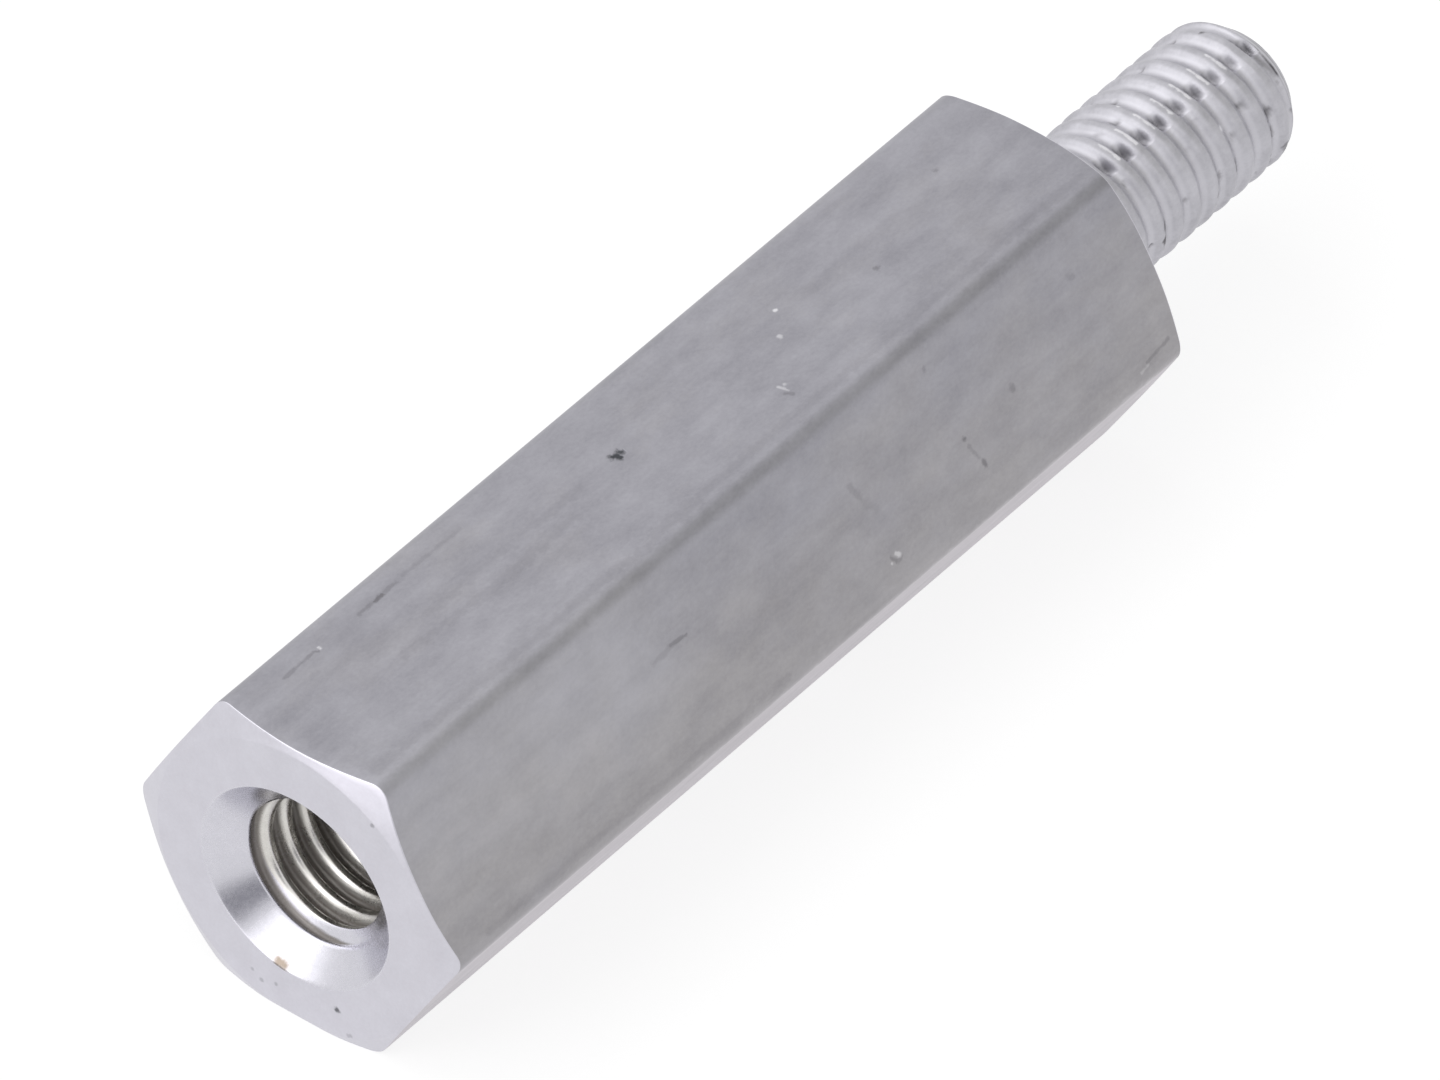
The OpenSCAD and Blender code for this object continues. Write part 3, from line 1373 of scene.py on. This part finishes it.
FLATS = MetalFinish(
    name="drawn_aluminium",
    dark=linear(146, 145, 152),
    light=linear(172, 171, 178),
    streaks=(0.2, 2.4, 2.4),
    roughness=0.42,
    relief=0.004,
    contrast=0.7,
    mottling=1.4,
    warmth=0.6,
    bounce_light=(1.45, 1.41, 1.46),
    marks=FLAT_MARKS,
)
ENDS = MetalFinish(
    name="turned_aluminium",
    dark=linear(197, 195, 203),
    light=linear(213, 212, 220),
    streaks=(6.0, 1.2, 1.2),
    roughness=0.32,
    relief=0.002,
    mottling=0.9,
    speck_share=0.03,
    marks=END_MARKS,
)
THREADED = MetalFinish(
    name="threaded_aluminium",
    dark=linear(172, 171, 177),
    light=linear(204, 203, 209),
    streaks=(7.0, 2.0, 2.0),
    roughness=0.52,
    relief=0.004,
    mottling=1.6,
    # Painted light: lighter roots lift the shade of the stud's thread.
    root=linear(206, 205, 211),
    root_share=0.45,
    marks=STUD_MARKS,
)
MOUTH = MetalFinish(
    name="countersunk_aluminium",
    dark=linear(196, 195, 203),
    light=linear(216, 215, 222),
    streaks=(4.0, 1.0, 1.0),
    roughness=0.27,
    relief=0.001,
    contrast=0.4,
    mottling=0.6,
    speck_share=0.02,
    # Painted shade: darker, duller roots in the countersink's thread.
    root=linear(126, 120, 115),
    root_share=0.95,
    root_shade_dulling=0.85,
    marks=MOUTH_MARKS,
)
BORE = MetalFinish(
    name="bored_aluminium",
    dark=linear(194, 191, 186),
    light=linear(228, 226, 222),
    streaks=(5.0, 1.5, 1.5),
    roughness=0.28,
    relief=0.0006,
    speck_share=0.03,
    # Painted shade: darker, duller roots in the hole's thread.
    root=linear(132, 126, 120),
    root_share=0.95,
    root_shade_dulling=0.85,
)


@dataclass
class Standoff:
    """The standoff: one turned piece.

    Attributes:
        sizes: Its sizes.
        outline: Its surface before the threads are cut.
        thread_depth: Depth of the thread on the stud.
        hole_thread_depth: Depth of the thread in the hole.
    """

    sizes: Sizes
    outline: Outline
    thread_depth: float = 0.09
    hole_thread_depth: float = 0.225

    def threads(self) -> list[tuple[Thread, MetalFinish]]:
        """Sets out the threads.

        Returns:
            The thread on the stud and the one in the hole, which runs out through the countersink, each
            with what its faces are dressed with.
        """
        s = self.sizes
        stud = Thread(
            region=Region.STUD, side=Side.ROD, crest_radius=s.stud_radius, depth=self.thread_depth,
            start=s.shoulder, crest_turn=0.2, crest_share=0.2, root_share=0.1, rounding=0.7,
            softness=0.06, nick_turn=0.302, nick_width=0.022, nick_depth=0.17, tearing=0.04, seed=3.0,
        )
        hole = Thread(
            region=Region.HOLE, side=Side.WALL, crest_radius=s.hole_radius, depth=self.hole_thread_depth,
            start=s.low.x, crest_turn=0.86, crest_share=0.14, root_share=0.12,
            softness=0.012, centre=s.turning_offset, seed=5.0,
        )
        return [(stud, THREADED), (hole, BORE), (replace(hole, region=Region.MOUTH), MOUTH)]

    def build(self, effects: Effects) -> bpy.types.Object:
        """Makes the piece, cuts its threads and dresses it.

        Args:
            effects: The shared shader groups.

        Returns:
            The piece.
        """
        mesh = self.outline.mesh("turned_standoff")
        for finish in (FLATS, ENDS, MOUTH):
            mesh.materials.append(finish.build(effects, self.sizes))
        piece = put_in_scene("turned_standoff", mesh)
        cutter = ThreadCutter()
        for thread, finish in self.threads():
            made = bpy.data.materials.get(finish.name) or finish.build(effects, self.sizes)
            cutter.cut(piece, thread, self.sizes.axis_height, made)
        self.face_outwards(piece.data)
        return piece

    def face_outwards(self, mesh: bpy.types.Mesh) -> None:
        """Turns every face outwards and shades it smoothly.

        Args:
            mesh: The piece's mesh.
        """
        work = bmesh.new()
        work.from_mesh(mesh)
        bmesh.ops.recalc_face_normals(work, faces=work.faces)
        for face in work.faces:
            face.smooth = True
        work.to_mesh(mesh)
        work.free()


@dataclass(frozen=True)
class Lamp:
    """A soft square lamp that points at the origin.

    Attributes:
        name: Its name.
        azimuth: Where it hangs round the object, in degrees.
        elevation: How high it hangs above the horizon, in degrees.
        size: Its width, in metres.
        power: Its power, in watts.
        distance: Its distance, in metres.
    """

    name: str
    azimuth: float
    elevation: float
    size: float
    power: float
    distance: float = 1.0

    def build(self) -> None:
        """Hangs it."""
        data = bpy.data.lights.new(self.name, "AREA")
        data.size = self.size
        data.energy = self.power
        lamp = put_in_scene(self.name, data)
        direction = towards(self.azimuth, self.elevation)
        lamp.location = direction * self.distance
        lamp.rotation_mode = "QUATERNION"
        lamp.rotation_quaternion = direction.to_track_quat("Z", "Y")


@dataclass(frozen=True)
class Patch:
    """A soft-edged patch of the surroundings, as the metal reflects them.

    Attributes:
        azimuth: Where its middle lies round the object, in degrees.
        elevation: How high that is above the horizon, in degrees.
        core: How far from its middle it is even, in degrees.
        edge: How far from its middle it ends, in degrees.
        colour: Its light, where plain white surroundings have 1.
    """

    azimuth: float
    elevation: float
    core: float
    edge: float
    colour: Colour


LAMPS = (
    Lamp("overhead", azimuth=-110, elevation=63, size=1.4, power=3.8),
    Lamp("side", azimuth=-105, elevation=36, size=0.5, power=1.5),
    Lamp("fill", azimuth=-175, elevation=45, size=0.9, power=1.2),
)
PATCHES = (
    Patch(azimuth=62, elevation=38, core=10, edge=38, colour=(0.64, 0.64, 0.61, 1.0)),
    Patch(azimuth=-95, elevation=6, core=10, edge=28, colour=(1.82, 1.79, 1.83, 1.0)),
    Patch(azimuth=-60, elevation=64, core=12, edge=32, colour=(0.8, 0.8, 0.8, 1.0)),
    Patch(azimuth=-54, elevation=13, core=4, edge=20, colour=(0.2, 0.2, 0.23, 1.0)),
)


@dataclass
class Studio:
    """A pale floor, soft light and the camera.

    Attributes:
        sizes: The standoff's sizes.
        azimuth: Where the camera stands round the object, in degrees.
        elevation: How high it stands above the horizon, in degrees.
        roll: How far its picture is turned, in degrees.
        distance: Its distance from the middle of the pillar, in millimetres.
        aim: How far its axis passes that middle, to the right and up, in millimetres.
        lens: Its focal length on a 36 mm sensor.
        clip: The nearest and the farthest that it sees, in metres.
        ambient: How bright the surroundings are for the floor, where the camera sees 1.
        floor_half: Half the floor's width, in metres.
        floor_grey: How much light the floor throws back.
        floor_glow: Share of the floor that shines by itself, which keeps its shadow pale.
        floor_light: How brightly that share shines where it is seen.
    """

    sizes: Sizes
    azimuth: float = -52.27
    elevation: float = 42.38
    roll: float = 0.787
    distance: float = 379.8
    aim: Pair = (0.894, 0.457)
    lens: float = 564.0
    clip: Pair = (0.01, 20.0)
    ambient: float = 0.5
    floor_half: float = 1.5
    floor_grey: float = 0.9
    floor_glow: float = 0.7
    floor_light: float = 1.15

    def camera(self) -> None:
        """Sets the camera where the photographer's was."""
        roll = math.radians(self.roll)
        back = towards(self.azimuth, self.elevation)
        level = towards(self.azimuth + 90, 0)
        rising = back.cross(level)
        right = level * math.cos(roll) + rising * math.sin(roll)
        up = rising * math.cos(roll) - level * math.sin(roll)
        place = self.sizes.middle + back * self.distance + right * self.aim[0] + up * self.aim[1]
        data = bpy.data.cameras.new("camera")
        data.lens = self.lens
        data.clip_start, data.clip_end = self.clip
        camera = put_in_scene("camera", data)
        turn = Matrix((right, up, back)).transposed().to_4x4()
        camera.matrix_world = Matrix.Translation(place * MM) @ turn
        bpy.context.scene.camera = camera

    def seen(self, g: Graph) -> Socket:
        """Tells what the camera sees directly, in metal or through glass.

        Args:
            g: The nodes of the floor or of the surroundings.

        Returns:
            1 there, and 0 elsewhere.
        """
        path = g.add("ShaderNodeLightPath").outputs
        direct = g.math("MAXIMUM", path["Is Camera Ray"], path["Is Glossy Ray"])
        return g.math("MAXIMUM", direct, path["Is Transmission Ray"])

    def floor(self) -> None:
        """Lays the floor."""
        half, grey = self.floor_half, self.floor_grey
        mesh = bpy.data.meshes.new("floor")
        corners = [(-half, -half, 0), (half, -half, 0), (half, half, 0), (-half, half, 0)]
        mesh.from_pydata(corners, [], [(0, 1, 2, 3)])
        material = bpy.data.materials.new("floor")
        g = Graph(fresh_tree(material))
        pale = g.add("ShaderNodeBsdfDiffuse", {"Color": (grey, grey, grey, 1.0)}).outputs[0]
        glow = g.add("ShaderNodeEmission", {"Strength": self.floor_light}).outputs[0]
        share = g.times(self.seen(g), self.floor_glow)
        mixed = g.add("ShaderNodeMixShader", {0: share, 1: pale, 2: glow}).outputs[0]
        g.add("ShaderNodeOutputMaterial", {"Surface": mixed})
        mesh.materials.append(material)
        floor = put_in_scene("floor", mesh)

    def world(self) -> None:
        """Makes white surroundings that light the part at a plain level."""
        world = bpy.data.worlds.new("surroundings")
        g = Graph(fresh_tree(world))
        direction = g.add("ShaderNodeTexCoord").outputs["Generated"]
        white = (1.0, 1.0, 1.0, 1.0)
        around = white
        for patch in PATCHES:
            nearness = g.vector("DOT_PRODUCT", direction, tuple(towards(patch.azimuth, patch.elevation)))
            edge, core = (math.cos(math.radians(angle)) for angle in (patch.edge, patch.core))
            around = g.blend(g.ease(nearness, edge, core), around, patch.colour)
        mirrored = g.add("ShaderNodeLightPath").outputs["Is Glossy Ray"]
        shader = g.add("ShaderNodeBackground", {
            "Color": g.blend(mirrored, white, around),
            "Strength": g.remap(self.seen(g), 0.0, 1.0, self.ambient, 1.0),
        })
        g.add("ShaderNodeOutputWorld", {"Surface": shader.outputs[0]})
        bpy.context.scene.world = world

    def build(self) -> None:
        """Sets up the whole studio."""
        bpy.context.scene.view_settings.view_transform = "Standard"
        self.camera()
        self.floor()
        self.world()
        for lamp in LAMPS:
            lamp.build()


def main() -> None:
    """Builds the standoff and its studio."""
    logging.basicConfig(level=logging.INFO, format="%(name)s: %(message)s")
    sizes = Sizes.from_frame(frame["record"])
    Studio(sizes).build()
    standoff = Standoff(sizes, Outline(sizes))
    piece = standoff.build(Effects(sizes))
    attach(piece, BODY)
    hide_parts(NODE)
    log.info("%s: %d faces on %s", piece.name, len(piece.data.polygons), BODY)


if __name__ == "__main__":
    main()
